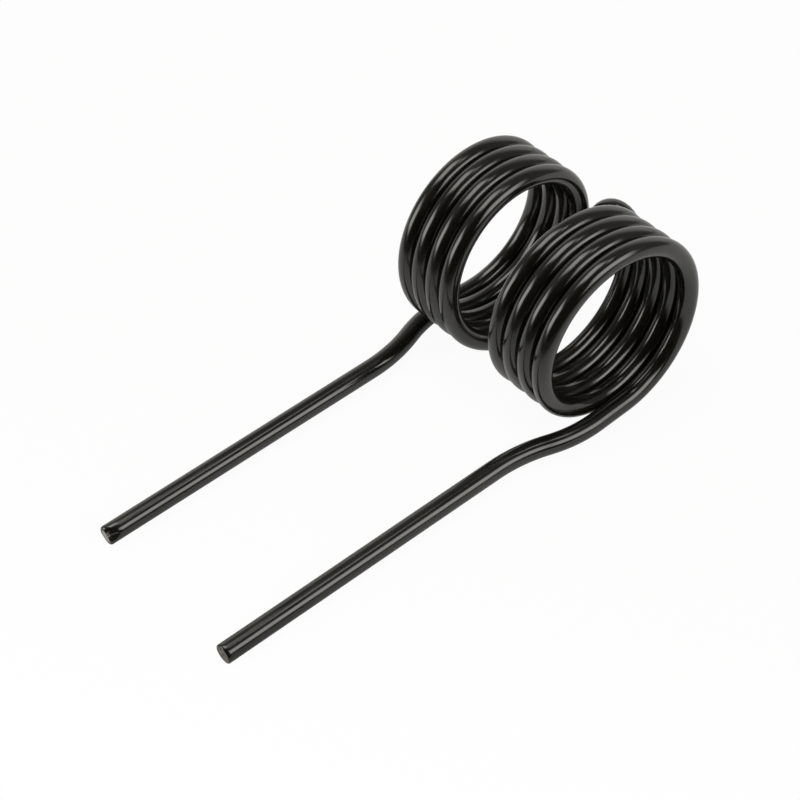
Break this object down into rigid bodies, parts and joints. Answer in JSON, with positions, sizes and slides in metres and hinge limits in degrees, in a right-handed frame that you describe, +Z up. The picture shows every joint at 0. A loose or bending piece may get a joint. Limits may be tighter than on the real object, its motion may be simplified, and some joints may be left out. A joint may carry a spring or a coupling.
{
  "type": "baler pick-up tine",
  "caption": "Sprung wire tine: mirror-image coils wind round a bar, the loop between them takes a bolt, and level legs with a joggle rake up the crop.",
  "frame": {"origin": "on the axis of the coils, midway between them", "axes": "+X from the coil axis towards the tips of the legs, +Y along the coil axis, +Z up, with the coils and the legs lying level on the same plane"},
  "size_m": [0.1611, 0.068, 0.0555],
  "materials": {
    "black_paint": "gloss"
  },
  "bodies": {
    "root": {"spring_tine": "black_paint"}
  },
  "joints": []
}
